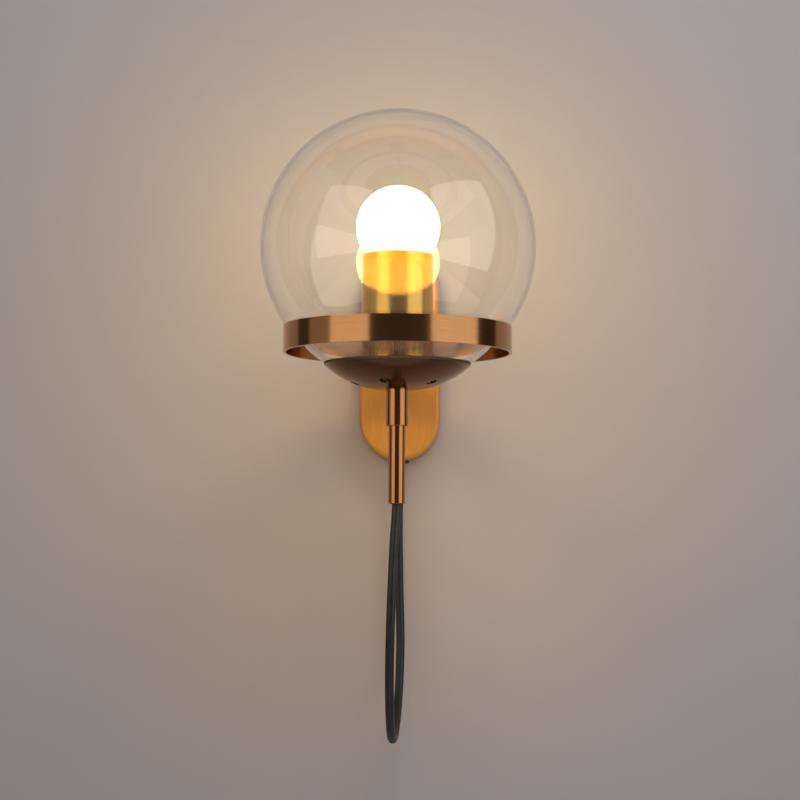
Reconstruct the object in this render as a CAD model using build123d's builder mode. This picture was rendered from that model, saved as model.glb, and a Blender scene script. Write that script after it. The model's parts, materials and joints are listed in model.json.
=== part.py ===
# Globe wall sconce: a clear glass globe that rests in a flat brass ring on a wall arm.
# The lamp unit (bulb, lampholder, dished cap and stem) is clamped to the globe's bottom opening,
# and its cord hangs from the stem in a loop and returns into the backplate.
# Millimetres, +Z up, wall plane at y = 0, room side at y < 0, origin at the backplate's centre.
# Heights of the lamp's own pieces are measured from the globe's centre.
import os
from math import cos, pi, radians, sin, sqrt, tan

from build123d import *

# ---- driving dimensions -------------------------------------------------------------------

# backplate, an obround shell open to the wall
PLATE_WIDTH = 62.0
PLATE_HEIGHT = 160.0
PLATE_DEPTH = 25.0
PLATE_WALL = 1.5
PLATE_EDGE_RADIUS = 4.0

# wall bracket, a folded steel strap inside the backplate
STRAP_LENGTH = 112.0
STRAP_WIDTH = 26.0
STRAP_THICKNESS = 1.5
STRAP_CORNER_RADIUS = 3.0
STRAP_BEND_RADIUS = 1.35
WING_HEIGHT = 16.0
TAB_DEPTH = 13.0
TAB_GAP = 0.3
WALL_SLOT_SPACING = 70.0
WALL_SLOT_LENGTH = 15.0
WALL_SLOT_WIDTH = 5.0
CABLE_HOLE_DIAMETER = 14.0

# arm that carries the ring
GLOBE_CLEARANCE = 10.0
ARM_DIAMETER = 12.0
ARM_THREAD_DIAMETER = 10.0
ARM_THREAD_STAND = 3.0
ARM_NUT_ACROSS_FLATS = 17.0
ARM_NUT_THICKNESS = 5.0
ARM_WASHER_DIAMETER = 20.0
ARM_WASHER_THICKNESS = 2.0

# ring
RING_DIAMETER = 165.5
RING_HEIGHT = 19.0
RING_WALL = 2.0
SEAT_WIDTH = 0.6
SEAT_GAP = 0.3
RING_SCREW_DIAMETER = 5.0
RING_SCREW_HEAD_DIAMETER = 9.0
RING_SCREW_HEAD_HEIGHT = 2.2
RING_SCREW_LENGTH = 12.0
RING_SCREW_SOCKET = 3.0
THREAD_RUNOUT = 1.0

# glass globe
GLOBE_DIAMETER = 200.0
GLASS_WALL = 2.5
GLOBE_OPENING = 80.0
GLASS_EDGE_SHARE = 0.4

# dished cap under the globe, its gasket and vents
CUP_RIM_DIAMETER = 106.0
CUP_DEPTH = 17.6
CUP_FLAT_DIAMETER = 16.0
CUP_WALL = 1.2
GASKET_LIP = 0.3
GASKET_WIDTH = 2.6
VENT_DIAMETER = 7.5
VENT_COUNT = 5
VENT_PITCH_RADIUS = 30.0
VENT_START_ANGLE = -15.9

# stem: coupler, cord tube and hollow threaded rod
STEM_THREAD_DIAMETER = 10.0
THREADED_ROD_BORE = 7.2
COUPLER_DIAMETER = 16.0
COUPLER_LENGTH = 26.6
CORD_TUBE_DIAMETER = 12.0
CORD_TUBE_LENGTH = 56.0
CORD_TUBE_WALL = 1.0
CORD_TUBE_SPIGOT = 10.0
THREADED_ROD_GRIP = 12.0
THREADED_ROD_STAND = 5.0
TUBE_BUSH_LENGTH = 8.0
TUBE_END_CHAMFER = 0.4

# clamp inside the globe's opening
CROSSBAR_LENGTH = 90.0
CROSSBAR_WIDTH = 14.0
CROSSBAR_THICKNESS = 2.5
CROSSBAR_CORNER_RADIUS = 3.0
PAD_LENGTH = 4.5
PAD_THICKNESS = 2.0
PAD_INSET = 1.0
SEAL_GAP = 0.1
LOCK_NUT_ACROSS_FLATS = 14.0
LOCK_NUT_THICKNESS = 3.0

# lampholder and the cover round it
COVER_WALL = 1.0
COVER_HEIGHT = 76.0
COVER_GAP = 0.6
COVER_EDGE_SHARE = 0.8
HOLDER_DIAMETER = 38.0
HOLDER_WALL = 2.0
HOLDER_HEIGHT = 44.0
HOLDER_CAP_HEIGHT = 16.0
HOLDER_CAP_SLOPE = 8.0
HOLDER_CORE_HEIGHT = 6.0
THREAD_SHELL_WALL = 0.4
THREAD_SHELL_INSET = 3.0
THREAD_SHELL_GAP = 0.3
CONTACT_WIDTH = 5.0
CONTACT_THICKNESS = 0.5
CONTACT_LENGTH = 16.0
CONTACT_RECESS_GAP = 0.5

# bulb, 60 mm across with an E27 cap
BULB_DIAMETER = 60.4
BULB_CENTRE_RISE = 51.2
BULB_SEAM_DROP = 12.3
BULB_WALL = 1.5
BULB_HOUSING_HEIGHT = 29.0
LED_BOARD_THICKNESS = 1.6
LED_BOARD_GAP = 0.3
BULB_CAP_LENGTH = 22.0
BULB_CAP_DIAMETER = 26.0
BULB_THREAD_DEPTH = 0.8
BULB_THREAD_PITCH = 3.62
BULB_THREAD_TURNS = 4
BULB_NECK_DIAMETER = 27.6
BULB_NECK_HEIGHT = 7.0
INSULATOR_HEIGHT = 2.6
INSULATOR_DIAMETER = 15.0
TIP_DIAMETER = 9.0
TIP_HEIGHT = 1.6
TIP_ROUNDING_SHARE = 0.6

# cord and what holds it
CORD_DIAMETER = 6.5
CORD_GAP = 0.1
CORD_WALL_DISTANCE = 12.5
GROMMET_DIAMETER = 14.0
GROMMET_NECK_DIAMETER = 10.0
GROMMET_FLANGE = 1.6
GROMMET_CURVE_ALLOWANCE = 1.0
CLAMP_WIDTH = 20.0
CLAMP_HEIGHT = 10.0
CLAMP_BAR_THICKNESS = 5.0
CLAMP_INSET = 1.0
CLAMP_CORNER_RADIUS = 2.0
CLAMP_SPLIT = 0.3
CLAMP_SCREW_DIAMETER = 3.0
CLAMP_SCREW_SPACING = 13.0
CLAMP_SCREW_HEAD_DIAMETER = 6.0
CLAMP_SCREW_HEAD_HEIGHT = 1.8
CORD_TAIL_STAND = 3.0
CORD_ROD_STAND = 1.0
CORD_FIRST_RUN = 6.0
CORD_LAST_RUN = 19.0
CORD_BEND_SHARE = 0.45

# terminals
BLOCK_POLES = 2
BLOCK_PITCH = 8.0
BLOCK_HEIGHT = 16.0
BLOCK_DEPTH = 12.0
BLOCK_DROP = 2.0
BLOCK_SCREW_DIAMETER = 1.8
BLOCK_SCREW_HEAD_DIAMETER = 4.8
BLOCK_SCREW_HEAD_HEIGHT = 1.5
BARREL_DIAMETER = 5.2
BARREL_BORE = 2.8
BARREL_INSET = 1.0
TERMINAL_SCREW_DIAMETER = 2.6
TERMINAL_SCREW_INSET = 1.0
LEAD_DIAMETER = 1.8
LEAD_SPREAD = 1.3
LEAD_BEND = 3.0
LEAD_RISE = 4.0
LEAD_ENTRY = 5.0
LEAD_TAG_OVERLAP = 1.0
LIVE_CORE_ANGLE = 210.0
NEUTRAL_CORE_ANGLE = 90.0
EARTH_CORE_ANGLE = 330.0
EARTH_TAG_DIAMETER = 8.0
EARTH_TAG_THICKNESS = 0.8
EARTH_TAG_GAP = 1.5
EARTH_SCREW_DROP = 7.0
EARTH_SCREW_DIAMETER = 4.0
EARTH_SCREW_HEAD_DIAMETER = 6.0
EARTH_SCREW_HEAD_HEIGHT = 2.0

# screws through the backplate's sides, and what all screws and holes share
SIDE_SCREW_DIAMETER = 4.0
SIDE_SCREW_HEAD_DIAMETER = 7.0
SIDE_SCREW_HEAD_HEIGHT = 2.0
SIDE_SCREW_LENGTH = 6.0
SIDE_SCREW_DISTANCE = 8.0
HEAD_ROUNDING_SHARE = 0.45
SCREW_GAP = 0.05
HOLE_GAP = 0.25
DRIVE_WIDTH = 0.8
DRIVE_DEPTH = 0.8
CUT_MARGIN = 1.0

# ---- worked out from them -----------------------------------------------------------------

GLOBE_RADIUS = GLOBE_DIAMETER / 2
LAMP_REACH = PLATE_DEPTH + GLOBE_CLEARANCE + GLOBE_RADIUS
ARM_THREAD_LENGTH = PLATE_WALL + ARM_WASHER_THICKNESS + ARM_NUT_THICKNESS + ARM_THREAD_STAND
GLASS_INNER_RADIUS = GLOBE_RADIUS - GLASS_WALL
RING_RADIUS = RING_DIAMETER / 2
RING_INNER_RADIUS = RING_RADIUS - RING_WALL
SEAT_RADIUS = RING_INNER_RADIUS + SEAT_WIDTH
GLOBE_HEIGHT = RING_HEIGHT / 2 + sqrt((GLOBE_RADIUS + SEAT_GAP) ** 2 - SEAT_RADIUS**2)

CUP_RIM_RADIUS = CUP_RIM_DIAMETER / 2
CUP_FLAT_RADIUS = CUP_FLAT_DIAMETER / 2
CUP_REACH = CUP_RIM_RADIUS - CUP_FLAT_RADIUS
CUP_ARC_RADIUS = (CUP_REACH**2 + CUP_DEPTH**2) / (2 * CUP_DEPTH)
RIM_RUN = CUP_REACH / CUP_ARC_RADIUS
RIM_RISE = (CUP_ARC_RADIUS - CUP_DEPTH) / CUP_ARC_RADIUS

# the cap's inner rim edge, its highest, stays just clear of the glass, with the gasket round it
RIM_INSIDE_RADIUS = CUP_RIM_RADIUS - CUP_WALL * RIM_RUN
GLASS_AT_RIM = -sqrt(GLOBE_RADIUS**2 - CUP_RIM_RADIUS**2)
GLASS_AT_RIM_INSIDE = -sqrt(GLOBE_RADIUS**2 - RIM_INSIDE_RADIUS**2)
CUP_RIM_HEIGHT = GLASS_AT_RIM_INSIDE - GASKET_LIP - CUP_WALL * RIM_RISE
CUP_BOTTOM = CUP_RIM_HEIGHT - CUP_DEPTH

COUPLER_BOTTOM = CUP_BOTTOM - COUPLER_LENGTH
CORD_TUBE_BOTTOM = COUPLER_BOTTOM - CORD_TUBE_LENGTH
STEM_HOLE_RADIUS = STEM_THREAD_DIAMETER / 2 + SCREW_GAP

# the crossbar's ends stand over the globe's inside on their pads, and carry what is above
GLASS_UNDER_CROSSBAR = -sqrt(GLASS_INNER_RADIUS**2 - (CROSSBAR_LENGTH / 2) ** 2)
CROSSBAR_BOTTOM = GLASS_UNDER_CROSSBAR + PAD_THICKNESS
COVER_BOTTOM = CROSSBAR_BOTTOM + CROSSBAR_THICKNESS
COVER_TOP = COVER_BOTTOM + COVER_HEIGHT
LOCK_NUT_BOTTOM = COVER_BOTTOM + COVER_WALL
HOLDER_BOTTOM = LOCK_NUT_BOTTOM + LOCK_NUT_THICKNESS
HOLDER_SEAM = HOLDER_BOTTOM + HOLDER_CAP_HEIGHT
HOLDER_TOP = HOLDER_BOTTOM + HOLDER_HEIGHT
THREAD_SHELL_TOP = HOLDER_TOP - THREAD_SHELL_INSET
THREAD_SHELL_BORE = BULB_CAP_DIAMETER / 2 + THREAD_SHELL_GAP

# the bulb's screw cap ends level with the lampholder's thread
BULB_RADIUS = BULB_DIAMETER / 2
BULB_CAP_TOP = THREAD_SHELL_TOP
BULB_CAP_BOTTOM = BULB_CAP_TOP - BULB_CAP_LENGTH
BULB_TIP_BOTTOM = BULB_CAP_BOTTOM - INSULATOR_HEIGHT - TIP_HEIGHT
BULB_CENTRE = BULB_CAP_TOP + BULB_CENTRE_RISE
DIFFUSER_BOTTOM = BULB_CAP_TOP + BULB_HOUSING_HEIGHT
SEAM_HEIGHT = BULB_CENTRE - BULB_SEAM_DROP
SEAM_RADIUS = sqrt(BULB_RADIUS**2 - BULB_SEAM_DROP**2)
NECK_TOP = BULB_CAP_TOP + BULB_NECK_HEIGHT
NECK_RADIUS = BULB_NECK_DIAMETER / 2
CONE_SLOPE = (SEAM_RADIUS - NECK_RADIUS) / (SEAM_HEIGHT - NECK_TOP)
DIFFUSER_RADIUS = SEAM_RADIUS - CONE_SLOPE * (SEAM_HEIGHT - DIFFUSER_BOTTOM)

# the cover just clears the bulb at its top edge
BULB_AT_COVER_TOP = SEAM_RADIUS - CONE_SLOPE * (SEAM_HEIGHT - COVER_TOP)
COVER_RADIUS = BULB_AT_COVER_TOP + COVER_GAP + COVER_WALL

CORD_RADIUS = CORD_DIAMETER / 2
CORD_HOLE_RADIUS = CORD_RADIUS + CORD_GAP
CORD_START = GLOBE_HEIGHT + CORD_TUBE_BOTTOM
GROMMET_BOTTOM = -PLATE_HEIGHT / 2 - GROMMET_FLANGE
CLAMP_BOTTOM = -STRAP_LENGTH / 2 + CLAMP_INSET
CLAMP_TOP = CLAMP_BOTTOM + CLAMP_HEIGHT
CORD_TAIL_END = CLAMP_TOP + CORD_TAIL_STAND

# the terminal block fills the strap's left side under the cable hole, the earth screw its right
BLOCK_WIDTH = BLOCK_POLES * BLOCK_PITCH
BLOCK_TOP = -CABLE_HOLE_DIAMETER / 2 - BLOCK_DROP
BLOCK_BOTTOM = BLOCK_TOP - BLOCK_HEIGHT
BLOCK_MIDDLE = BLOCK_TOP - BLOCK_HEIGHT / 2
BLOCK_CENTRE_X = (BLOCK_WIDTH - STRAP_WIDTH) / 2
EARTH_SCREW_X = BLOCK_CENTRE_X + (BLOCK_WIDTH + EARTH_TAG_DIAMETER) / 2 + EARTH_TAG_GAP
EARTH_SCREW_Z = BLOCK_TOP - EARTH_SCREW_DROP

# the cord's route from the stem to the backplate: x, y, z
CORD_POINTS = [
    (0, -LAMP_REACH, CORD_START),
    (0, -LAMP_REACH, CORD_START - CORD_FIRST_RUN),
    (-1.9, -135.4, -148),
    (-4.6, -133, -226),
    (-4.5, -112, -274),
    (-3.6, -73.5, -294.5),
    (-1.6, -34.5, -274),
    (0.9, -14, -226),
    (0.2, -11.4, -176),
    (-0.9, -12.1, -125),
    (0, -CORD_WALL_DISTANCE, GROMMET_BOTTOM - CORD_LAST_RUN),
    (0, -CORD_WALL_DISTANCE, GROMMET_BOTTOM),
]

# ---- planes ---------------------------------------------------------------------------------

WALL = Plane(origin=(0, 0, 0), x_dir=(1, 0, 0), z_dir=(0, -1, 0))
SIDE = Plane(origin=(0, 0, 0), x_dir=(0, -1, 0), z_dir=(1, 0, 0))
LAMP = Plane(origin=(0, -LAMP_REACH, GLOBE_HEIGHT), x_dir=(1, 0, 0), z_dir=(0, -1, 0))
LAMP_AXIS = Axis((0, -LAMP_REACH, 0), (0, 0, 1))
GLOBE_CENTRE = (0, -LAMP_REACH, GLOBE_HEIGHT)


def level(height):
    """A horizontal plane on the lamp's axis, at a height from the globe's centre."""
    return Plane(origin=(0, -LAMP_REACH, GLOBE_HEIGHT + height))


def cord_level(height):
    """A horizontal plane on the axis of the cord's way into the backplate."""
    return Plane(origin=(0, -CORD_WALL_DISTANCE, height))


def glass_height(radius, sphere_radius):
    """Height of the lower half of a sphere about the globe's centre, at a distance from the axis."""
    return -sqrt(sphere_radius**2 - radius**2)


os.makedirs("parts", exist_ok=True)


def save(piece, name):
    """Labels a finished piece and writes it as one STEP file."""
    piece.part.label = name
    export_step(piece.part, f"parts/{name}.step")


# ---- backplate and what holds it to the wall ------------------------------------------------

with BuildPart() as backplate:
    with BuildSketch(WALL):
        SlotOverall(PLATE_HEIGHT, PLATE_WIDTH, rotation=90)
    extrude(amount=PLATE_DEPTH)
    front_face = backplate.faces().sort_by(Axis.Y)[0]
    fillet(front_face.edges(), radius=PLATE_EDGE_RADIUS)
    wall_face = backplate.faces().sort_by(Axis.Y)[-1]
    offset(amount=-PLATE_WALL, openings=wall_face)
    with BuildSketch(WALL.offset(PLATE_DEPTH)):
        Circle(ARM_THREAD_DIAMETER / 2 + HOLE_GAP)
    extrude(amount=-2 * PLATE_WALL, mode=Mode.SUBTRACT)
    with BuildSketch(SIDE):
        with Locations((SIDE_SCREW_DISTANCE, 0)):
            Circle(SIDE_SCREW_DIAMETER / 2 + HOLE_GAP)
    extrude(amount=PLATE_WIDTH, both=True, mode=Mode.SUBTRACT)
    with BuildSketch(cord_level(-PLATE_HEIGHT / 2 - CUT_MARGIN)):
        Circle(GROMMET_NECK_DIAMETER / 2)
    extrude(amount=PLATE_WALL + 2 * CUT_MARGIN, mode=Mode.SUBTRACT)
save(backplate, "backplate")

WING_REACH = PLATE_WIDTH / 2 - PLATE_WALL - TAB_GAP

with BuildPart() as wall_bracket:
    with BuildSketch(WALL):
        RectangleRounded(STRAP_WIDTH, STRAP_LENGTH, radius=STRAP_CORNER_RADIUS)
        Rectangle(2 * WING_REACH, WING_HEIGHT)
    extrude(amount=STRAP_THICKNESS)
    with BuildSketch(WALL):
        with Locations((WING_REACH - STRAP_THICKNESS / 2, 0), (STRAP_THICKNESS / 2 - WING_REACH, 0)):
            Rectangle(STRAP_THICKNESS, WING_HEIGHT)
    extrude(amount=TAB_DEPTH)
    upright_edges = wall_bracket.edges().filter_by(Axis.Z).group_by(Axis.Y)[-1].sort_by(Axis.X)
    fillet([upright_edges[0], upright_edges[-1]], radius=STRAP_BEND_RADIUS)
    with BuildSketch(WALL):
        with Locations((0, WALL_SLOT_SPACING / 2), (0, -WALL_SLOT_SPACING / 2)):
            SlotOverall(WALL_SLOT_LENGTH, WALL_SLOT_WIDTH, rotation=90)
        Circle(CABLE_HOLE_DIAMETER / 2)
        with Locations((EARTH_SCREW_X, EARTH_SCREW_Z)):
            Circle(EARTH_SCREW_DIAMETER / 2 + SCREW_GAP)
        with Locations((BLOCK_CENTRE_X, BLOCK_MIDDLE)):
            Circle(BLOCK_SCREW_DIAMETER / 2 + SCREW_GAP)
        with Locations((0, CLAMP_BOTTOM + CLAMP_HEIGHT / 2)):
            with GridLocations(CLAMP_SCREW_SPACING, 0, 2, 1):
                Circle(CLAMP_SCREW_DIAMETER / 2 + SCREW_GAP)
    extrude(amount=STRAP_THICKNESS, mode=Mode.SUBTRACT)
    with BuildSketch(SIDE):
        with Locations((SIDE_SCREW_DISTANCE, 0)):
            Circle(SIDE_SCREW_DIAMETER / 2 + SCREW_GAP)
    extrude(amount=PLATE_WIDTH, both=True, mode=Mode.SUBTRACT)
save(wall_bracket, "wall_bracket")

with BuildPart() as backplate_screws:
    for side in (1, -1):
        with BuildSketch(SIDE.offset(side * PLATE_WIDTH / 2)):
            with Locations((SIDE_SCREW_DISTANCE, 0)):
                Circle(SIDE_SCREW_HEAD_DIAMETER / 2)
        extrude(amount=side * SIDE_SCREW_HEAD_HEIGHT)
        with BuildSketch(SIDE.offset(side * PLATE_WIDTH / 2)):
            with Locations((SIDE_SCREW_DISTANCE, 0)):
                Circle(SIDE_SCREW_DIAMETER / 2)
        extrude(amount=-side * SIDE_SCREW_LENGTH)
        head_face = backplate_screws.faces().sort_by(Axis.X)[-1 if side > 0 else 0]
        fillet(head_face.edges(), radius=SIDE_SCREW_HEAD_HEIGHT * HEAD_ROUNDING_SHARE)
        with BuildSketch(SIDE.offset(side * (PLATE_WIDTH / 2 + SIDE_SCREW_HEAD_HEIGHT))):
            with Locations((SIDE_SCREW_DISTANCE, 0)):
                Rectangle(SIDE_SCREW_HEAD_DIAMETER, DRIVE_WIDTH)
        extrude(amount=-side * DRIVE_DEPTH, mode=Mode.SUBTRACT)
save(backplate_screws, "backplate_screws")

# ---- arm and ring ---------------------------------------------------------------------------

with BuildPart() as arm:
    with BuildSketch(WALL.offset(PLATE_DEPTH)):
        Circle(ARM_DIAMETER / 2)
    extrude(amount=LAMP_REACH - RING_INNER_RADIUS - PLATE_DEPTH)
    with BuildSketch(WALL.offset(PLATE_DEPTH)):
        Circle(ARM_THREAD_DIAMETER / 2)
    extrude(amount=-ARM_THREAD_LENGTH)
    thread_end = arm.faces().sort_by(Axis.Y)[-1]
    chamfer(thread_end.edges(), length=TUBE_END_CHAMFER)
    with BuildSketch(Plane(origin=(0, -LAMP_REACH, -RING_HEIGHT))):
        Circle(RING_RADIUS)
    extrude(amount=2 * RING_HEIGHT, mode=Mode.SUBTRACT)
    with BuildSketch(WALL.offset(LAMP_REACH - RING_INNER_RADIUS)):
        Circle(RING_SCREW_DIAMETER / 2 + SCREW_GAP)
    extrude(amount=-RING_SCREW_LENGTH - THREAD_RUNOUT, mode=Mode.SUBTRACT)
save(arm, "arm")

with BuildPart() as arm_washer:
    with BuildSketch(WALL.offset(PLATE_DEPTH - PLATE_WALL)):
        Circle(ARM_WASHER_DIAMETER / 2)
        Circle(ARM_THREAD_DIAMETER / 2 + HOLE_GAP, mode=Mode.SUBTRACT)
    extrude(amount=-ARM_WASHER_THICKNESS)
save(arm_washer, "arm_washer")

with BuildPart() as arm_nut:
    with BuildSketch(WALL.offset(PLATE_DEPTH - PLATE_WALL - ARM_WASHER_THICKNESS)):
        RegularPolygon(ARM_NUT_ACROSS_FLATS / 2, 6, major_radius=False)
        Circle(ARM_THREAD_DIAMETER / 2 + SCREW_GAP, mode=Mode.SUBTRACT)
    extrude(amount=-ARM_NUT_THICKNESS)
save(arm_nut, "arm_nut")

with BuildPart() as globe_ring:
    with BuildSketch(Plane(origin=(0, -LAMP_REACH, -RING_HEIGHT / 2))):
        Circle(RING_RADIUS)
        Circle(RING_INNER_RADIUS, mode=Mode.SUBTRACT)
    extrude(amount=RING_HEIGHT)
    with Locations(GLOBE_CENTRE):
        Sphere(GLOBE_RADIUS + SEAT_GAP, mode=Mode.SUBTRACT)
    with BuildSketch(WALL.offset(LAMP_REACH - RING_RADIUS - RING_WALL)):
        Circle(RING_SCREW_DIAMETER / 2 + HOLE_GAP)
    extrude(amount=3 * RING_WALL, mode=Mode.SUBTRACT)
save(globe_ring, "globe_ring")

# the head's flat underside bears on the ring's hollow inner face at its edge
HEAD_SEAT = LAMP_REACH - sqrt(RING_INNER_RADIUS**2 - (RING_SCREW_HEAD_DIAMETER / 2) ** 2)

with BuildPart() as ring_screw:
    with BuildSketch(WALL.offset(HEAD_SEAT)):
        Circle(RING_SCREW_HEAD_DIAMETER / 2)
    extrude(amount=RING_SCREW_HEAD_HEIGHT)
    head_face = ring_screw.faces().sort_by(Axis.Y)[0]
    fillet(head_face.edges(), radius=RING_SCREW_HEAD_HEIGHT * HEAD_ROUNDING_SHARE)
    with BuildSketch(WALL.offset(HEAD_SEAT)):
        Circle(RING_SCREW_DIAMETER / 2)
    extrude(amount=-RING_SCREW_LENGTH)
    with BuildSketch(WALL.offset(HEAD_SEAT + RING_SCREW_HEAD_HEIGHT)):
        RegularPolygon(RING_SCREW_SOCKET / 2, 6, major_radius=False)
    extrude(amount=-DRIVE_DEPTH, mode=Mode.SUBTRACT)
save(ring_screw, "ring_screw")

# ---- globe, dished cap and stem -------------------------------------------------------------

OPENING_RADIUS = GLOBE_OPENING / 2

with BuildPart() as glass_globe:
    with BuildSketch(LAMP):
        with BuildLine():
            outer_edge = (OPENING_RADIUS, glass_height(OPENING_RADIUS, GLOBE_RADIUS))
            inner_edge = (OPENING_RADIUS, glass_height(OPENING_RADIUS, GLASS_INNER_RADIUS))
            ThreePointArc(outer_edge, (GLOBE_RADIUS, 0), (0, GLOBE_RADIUS))
            Line((0, GLOBE_RADIUS), (0, GLASS_INNER_RADIUS))
            ThreePointArc((0, GLASS_INNER_RADIUS), (GLASS_INNER_RADIUS, 0), inner_edge)
            Line(inner_edge, outer_edge)
        make_face()
    revolve(axis=LAMP_AXIS)
    opening_edges = glass_globe.edges().filter_by(GeomType.CIRCLE).group_by(Axis.Z)[0:2]
    fillet([e for group in opening_edges for e in group], radius=GLASS_WALL * GLASS_EDGE_SHARE)
save(glass_globe, "glass_globe")

CUP_ARC_CENTRE = CUP_BOTTOM + CUP_ARC_RADIUS
CUP_INNER_ARC = CUP_ARC_RADIUS - CUP_WALL
rim_outside = (CUP_RIM_RADIUS, CUP_RIM_HEIGHT)
rim_inside = (RIM_INSIDE_RADIUS, CUP_ARC_CENTRE - CUP_INNER_ARC * RIM_RISE)

with BuildPart() as glass_cup:
    with BuildSketch(LAMP):
        with BuildLine():
            Line((STEM_HOLE_RADIUS, CUP_BOTTOM), (CUP_FLAT_RADIUS, CUP_BOTTOM))
            TangentArc((CUP_FLAT_RADIUS, CUP_BOTTOM), rim_outside, tangent=(1, 0))
            Line(rim_outside, rim_inside)
            floor_edge = (CUP_FLAT_RADIUS, CUP_BOTTOM + CUP_WALL)
            TangentArc(floor_edge, rim_inside, tangent=(1, 0))
            Line(floor_edge, (STEM_HOLE_RADIUS, CUP_BOTTOM + CUP_WALL))
            Line((STEM_HOLE_RADIUS, CUP_BOTTOM + CUP_WALL), (STEM_HOLE_RADIUS, CUP_BOTTOM))
        make_face()
    revolve(axis=LAMP_AXIS)
    with BuildSketch(level(CUP_BOTTOM)):
        with PolarLocations(VENT_PITCH_RADIUS, VENT_COUNT, start_angle=VENT_START_ANGLE - 90):
            Circle(VENT_DIAMETER / 2)
    extrude(amount=CUP_DEPTH, mode=Mode.SUBTRACT)
save(glass_cup, "glass_cup")

GASKET_INNER_RADIUS = CUP_RIM_RADIUS - GASKET_WIDTH
cup_under_gasket = CUP_ARC_CENTRE - sqrt(CUP_INNER_ARC**2 - (GASKET_INNER_RADIUS - CUP_FLAT_RADIUS) ** 2)

with BuildPart() as globe_gasket:
    with BuildSketch(LAMP):
        with BuildLine():
            Polyline(
                rim_outside,
                (CUP_RIM_RADIUS, GLASS_AT_RIM - SEAL_GAP),
                (GASKET_INNER_RADIUS, glass_height(GASKET_INNER_RADIUS, GLOBE_RADIUS) - SEAL_GAP),
                (GASKET_INNER_RADIUS, cup_under_gasket),
                rim_inside,
                close=True,
            )
        make_face()
    revolve(axis=LAMP_AXIS)
save(globe_gasket, "globe_gasket")

with BuildPart() as stem_coupler:
    with BuildSketch(level(COUPLER_BOTTOM)):
        Circle(COUPLER_DIAMETER / 2)
    extrude(amount=COUPLER_LENGTH)
    end_face = stem_coupler.faces().sort_by(Axis.Z)[0]
    chamfer(end_face.edges(), length=TUBE_END_CHAMFER)
    with BuildSketch(level(COUPLER_BOTTOM)):
        Circle(STEM_HOLE_RADIUS)
    extrude(amount=COUPLER_LENGTH, mode=Mode.SUBTRACT)
save(stem_coupler, "stem_coupler")

with BuildPart() as cord_tube:
    with BuildSketch(level(CORD_TUBE_BOTTOM)):
        Circle(CORD_TUBE_DIAMETER / 2)
    extrude(amount=CORD_TUBE_LENGTH)
    end_face = cord_tube.faces().sort_by(Axis.Z)[0]
    chamfer(end_face.edges(), length=TUBE_END_CHAMFER)
    with BuildSketch(level(COUPLER_BOTTOM)):
        Circle(STEM_THREAD_DIAMETER / 2)
    extrude(amount=CORD_TUBE_SPIGOT)
    with BuildSketch(level(CORD_TUBE_BOTTOM)):
        Circle(CORD_TUBE_DIAMETER / 2 - CORD_TUBE_WALL)
    extrude(amount=CORD_TUBE_LENGTH - 2 * CORD_TUBE_WALL, mode=Mode.SUBTRACT)
    with BuildSketch(level(CORD_TUBE_BOTTOM)):
        Circle(THREADED_ROD_BORE / 2)
    extrude(amount=CORD_TUBE_LENGTH + CORD_TUBE_SPIGOT, mode=Mode.SUBTRACT)
save(cord_tube, "cord_tube")

with BuildPart() as tube_bush:
    with BuildSketch(level(CORD_TUBE_BOTTOM)):
        Circle(CORD_TUBE_DIAMETER / 2 - CORD_TUBE_WALL - SCREW_GAP)
        Circle(CORD_HOLE_RADIUS, mode=Mode.SUBTRACT)
    extrude(amount=TUBE_BUSH_LENGTH)
save(tube_bush, "tube_bush")

THREADED_ROD_BOTTOM = CUP_BOTTOM - THREADED_ROD_GRIP
THREADED_ROD_TOP = HOLDER_BOTTOM + THREADED_ROD_STAND

with BuildPart() as threaded_rod:
    with BuildSketch(level(THREADED_ROD_BOTTOM)):
        Circle(STEM_THREAD_DIAMETER / 2)
        Circle(THREADED_ROD_BORE / 2, mode=Mode.SUBTRACT)
    extrude(amount=THREADED_ROD_TOP - THREADED_ROD_BOTTOM)
save(threaded_rod, "threaded_rod")

# ---- clamp inside the globe -----------------------------------------------------------------

with BuildPart() as globe_crossbar:
    with BuildSketch(level(CROSSBAR_BOTTOM)):
        RectangleRounded(CROSSBAR_LENGTH, CROSSBAR_WIDTH, radius=CROSSBAR_CORNER_RADIUS)
        Circle(STEM_HOLE_RADIUS, mode=Mode.SUBTRACT)
    extrude(amount=CROSSBAR_THICKNESS)
save(globe_crossbar, "globe_crossbar")

PAD_SPACING = CROSSBAR_LENGTH - PAD_LENGTH
PAD_DEPTH = CROSSBAR_BOTTOM - glass_height(CROSSBAR_LENGTH / 2 - PAD_LENGTH, GLASS_INNER_RADIUS)

with BuildPart() as crossbar_pads:
    with BuildSketch(level(CROSSBAR_BOTTOM)):
        with GridLocations(PAD_SPACING, 0, 2, 1):
            Rectangle(PAD_LENGTH, CROSSBAR_WIDTH - 2 * PAD_INSET)
    extrude(amount=-PAD_DEPTH - CUT_MARGIN)
    with Locations(GLOBE_CENTRE):
        Sphere(GLASS_INNER_RADIUS - SEAL_GAP, mode=Mode.INTERSECT)
save(crossbar_pads, "crossbar_pads")

with BuildPart() as lock_nut:
    with BuildSketch(level(LOCK_NUT_BOTTOM)):
        RegularPolygon(LOCK_NUT_ACROSS_FLATS / 2, 6, major_radius=False)
        Circle(STEM_HOLE_RADIUS, mode=Mode.SUBTRACT)
    extrude(amount=LOCK_NUT_THICKNESS)
save(lock_nut, "lock_nut")

# ---- lampholder -----------------------------------------------------------------------------

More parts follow.
